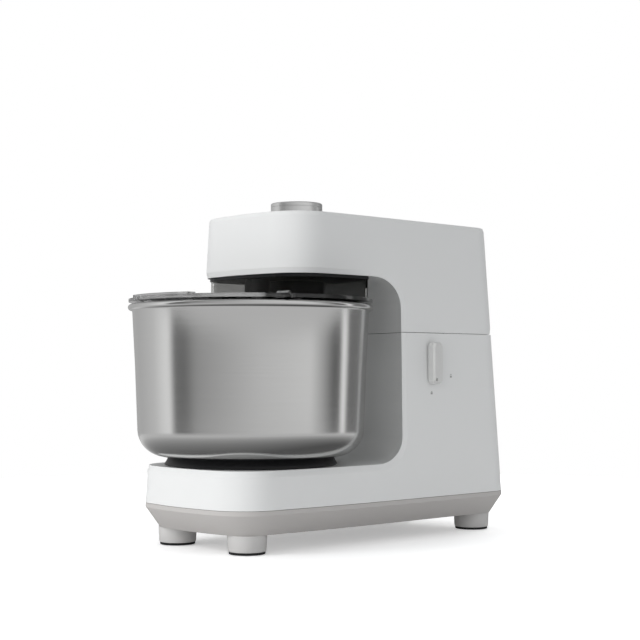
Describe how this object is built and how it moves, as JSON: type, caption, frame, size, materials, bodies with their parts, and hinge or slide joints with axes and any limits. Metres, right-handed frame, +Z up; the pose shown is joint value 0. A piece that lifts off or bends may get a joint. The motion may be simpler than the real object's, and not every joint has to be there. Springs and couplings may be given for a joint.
{
  "type": "stand mixer",
  "caption": "Spiral stand mixer with a steel bowl on a turntable, a column, a tilting head with a clear lid, a spiral hook and a breaker bar.",
  "frame": {"origin": "on the surface it stands on, under the centre of its bounding box", "axes": "+Z up; -Y toward the front, where the bowl stands out; +X toward the side with the locking lever"},
  "size_m": [0.262, 0.4533, 0.3696],
  "materials": {
    "white": "satin powder coat",
    "pan_grey": "matt",
    "foot_grey": "matt",
    "rubber": "matt",
    "bowl_steel": "brushed round the bowl",
    "steel": "polished",
    "turntable_black": "matt",
    "hub_black": "satin",
    "hub_grey": "satin",
    "clear": "clear plastic",
    "knob_metal": "turned",
    "ring_dark": "satin",
    "lever_metal": "satin",
    "cast": "as cast",
    "pulley_black": "matt",
    "belt": "matt",
    "copper": "enamelled wire",
    "screw": "zinc plated",
    "board": "solder mask"
  },
  "bodies": {
    "root": {"body_shell": "white", "base_pan": "pan_grey", "feet": "foot_grey", "foot_pads": "rubber", "foot_screws": "screw", "pan_screws": "screw", "cord_inlet": "rubber", "chassis": "cast", "chassis_screws": "screw", "bowl_bearing_housing": "cast", "bowl_bearings": "steel", "motor_can": "cast", "motor_end_plate": "cast", "motor_screws": "screw", "main_bearing": "steel", "bowl_belt": "belt", "hinge_bracket": "cast", "hinge_pin": "steel", "pin_clips": "screw", "lever_bush": "pulley_black"},
    "bowl_drive": {"bowl_spindle": "steel", "bowl_pulley": "pulley_black", "turntable": "turntable_black", "bowl_lock_ring": "steel", "bowl": "bowl_steel"},
    "motor_drive": {"motor_rotor": "copper", "main_shaft": "steel", "main_pulley": "pulley_black", "lower_coupling": "pulley_black"},
    "lever": {"lever_shaft": "steel", "latch_cam": "steel", "lock_lever": "lever_metal"},
    "head": {"head_shell": "white", "head_frame": "cast", "frame_screws": "screw", "head_rear_cover": "pulley_black", "head_underplate": "hub_black", "latch_catch": "steel", "head_shaft_bearings": "steel", "hook_belt": "belt", "spindle_bearings": "steel", "breaker_hub": "hub_grey", "breaker_bar": "steel", "lid_plate": "clear", "lid_skirt": "clear", "control_board": "board", "knob_encoder": "pulley_black", "knob_ring": "ring_dark"},
    "head_drive": {"head_shaft": "steel", "upper_coupling": "pulley_black", "head_pulley": "pulley_black"},
    "hook_drive": {"hook_spindle": "steel", "hook_pulley": "pulley_black", "hook_hub": "hub_black", "spiral_hook": "steel"},
    "flap": {"lid_flap": "clear", "flap_pins": "steel"},
    "knob_press": {"knob_stem": "steel"},
    "knob_turn": {"knob": "knob_metal"}
  },
  "joints": [
    {"name": "motor_spin", "type": "hinge", "parent": "root", "child": "motor_drive", "pos_m": [0, 0.14371, 0.14], "axis": [0, 0, 1], "continuous": true},
    {"name": "bowl_spin", "type": "hinge", "parent": "root", "child": "bowl_drive", "pos_m": [0, -0.0955, 0.09], "axis": [0, 0, 1], "continuous": true},
    {"name": "head_tilt", "type": "hinge", "parent": "root", "child": "head", "pos_m": [0, 0.20617, 0.2386], "axis": [-1, 0, 0], "range_deg": [0, 38]},
    {"name": "lever_turn", "type": "hinge", "parent": "root", "child": "lever", "pos_m": [0.09, 0.0919, 0.194], "axis": [1, 0, 0], "range_deg": [0, 55]},
    {"name": "head_shaft_spin", "type": "hinge", "parent": "head", "child": "head_drive", "pos_m": [0, 0.14371, 0.28], "axis": [0, 0, 1], "continuous": true},
    {"name": "hook_spin", "type": "hinge", "parent": "head", "child": "hook_drive", "pos_m": [0, -0.0295, 0.28], "axis": [0, 0, 1], "continuous": true},
    {"name": "flap_swing", "type": "hinge", "parent": "head", "child": "flap", "pos_m": [0, -0.1455, 0.2626], "axis": [-1, 0, 0], "range_deg": [0, 100]},
    {"name": "knob_push", "type": "slide", "parent": "head", "child": "knob_press", "axis": [0, 0, -1], "range_m": [0, 0.0015], "stiffness_N_per_m": 1200, "springref_m": -0.0008},
    {"name": "knob_turning", "type": "hinge", "parent": "knob_press", "child": "knob_turn", "pos_m": [0, -0.0295, 0.36], "axis": [0, 0, 1], "continuous": true}
  ],
  "couplings": [
    {"joint": "bowl_spin", "follows": "motor_spin", "ratio": 0.19355},
    {"joint": "head_shaft_spin", "follows": "motor_spin", "ratio": 1},
    {"joint": "hook_spin", "follows": "motor_spin", "ratio": 0.29167}
  ]
}
